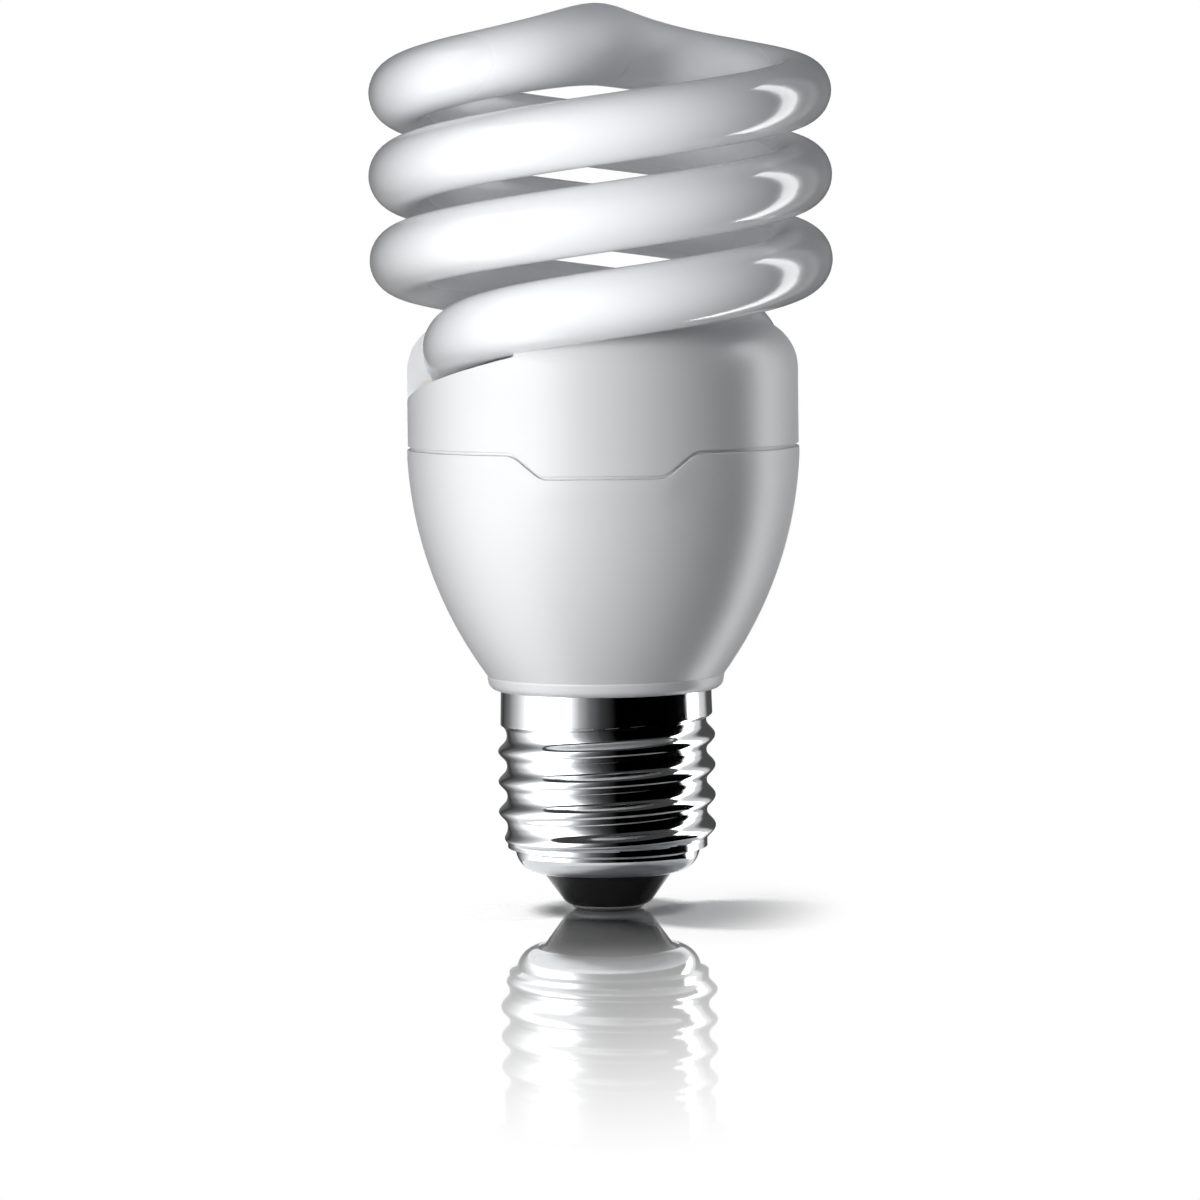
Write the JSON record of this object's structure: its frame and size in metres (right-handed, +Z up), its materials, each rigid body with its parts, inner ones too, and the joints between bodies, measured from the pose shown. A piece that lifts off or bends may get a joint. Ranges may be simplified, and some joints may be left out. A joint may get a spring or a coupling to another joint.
{
  "type": "spiral compact fluorescent lamp",
  "caption": "Compact fluorescent lamp with a glossy white glass tube wound as a double helix, a white plastic ballast housing and a medium screw cap with a rolled thread.",
  "frame": {"origin": "centre of the flat face of the centre contact, the lowest point of the cap", "axes": "+Z up the lamp axis from the contact to the top of the tube, -Y towards the moulded tab on the front of the cover, +X to the right as seen from the front"},
  "size_m": [0.055, 0.055, 0.108],
  "materials": {
    "coated_glass": "glossy tube, white coating inside",
    "white_plastic": "satin moulded white",
    "cap_metal": "plated sheet, rolled",
    "contact_metal": "plated disc",
    "black_glass": "pressed black glass, opaque",
    "cement": "cured white cement",
    "board": "phenolic paper laminate",
    "can_sleeve": "shrunk sleeve",
    "ferrite": "sintered, dull",
    "bobbin": "moulded",
    "copper": "enamelled wire",
    "film_red": "dipped",
    "black_epoxy": "moulded",
    "resistor_body": "lacquered",
    "tinned_wire": "tinned"
  },
  "bodies": {
    "root": {"spiral_tube": "coated_glass", "tube_holder": "white_plastic", "ballast_housing": "white_plastic", "screw_shell": "cap_metal", "cap_insulator": "black_glass", "centre_contact": "contact_metal", "tube_cement_1": "cement", "tube_cement_2": "cement", "circuit_board": "board", "smoothing_capacitor": "can_sleeve", "choke_core": "ferrite", "choke_bobbin": "bobbin", "choke_winding": "copper", "drive_core": "ferrite", "drive_windings": "copper", "filter_inductor": "ferrite", "filter_winding": "copper", "shell_lead": "tinned_wire", "contact_lead": "tinned_wire", "resonant_capacitor": "film_red", "blocking_capacitor": "film_red", "transistor_high": "black_epoxy", "transistor_low": "black_epoxy", "start_resistor": "resistor_body", "base_resistor": "resistor_body", "fuse_resistor": "resistor_body", "trigger_diac": "black_epoxy", "rectifier_diode_1": "black_epoxy", "wire_post_1": "tinned_wire", "tube_lead_1": "tinned_wire", "rectifier_diode_2": "black_epoxy", "wire_post_2": "tinned_wire", "tube_lead_2": "tinned_wire", "rectifier_diode_3": "black_epoxy", "wire_post_3": "tinned_wire", "tube_lead_3": "tinned_wire", "rectifier_diode_4": "black_epoxy", "wire_post_4": "tinned_wire", "tube_lead_4": "tinned_wire"}
  },
  "joints": []
}
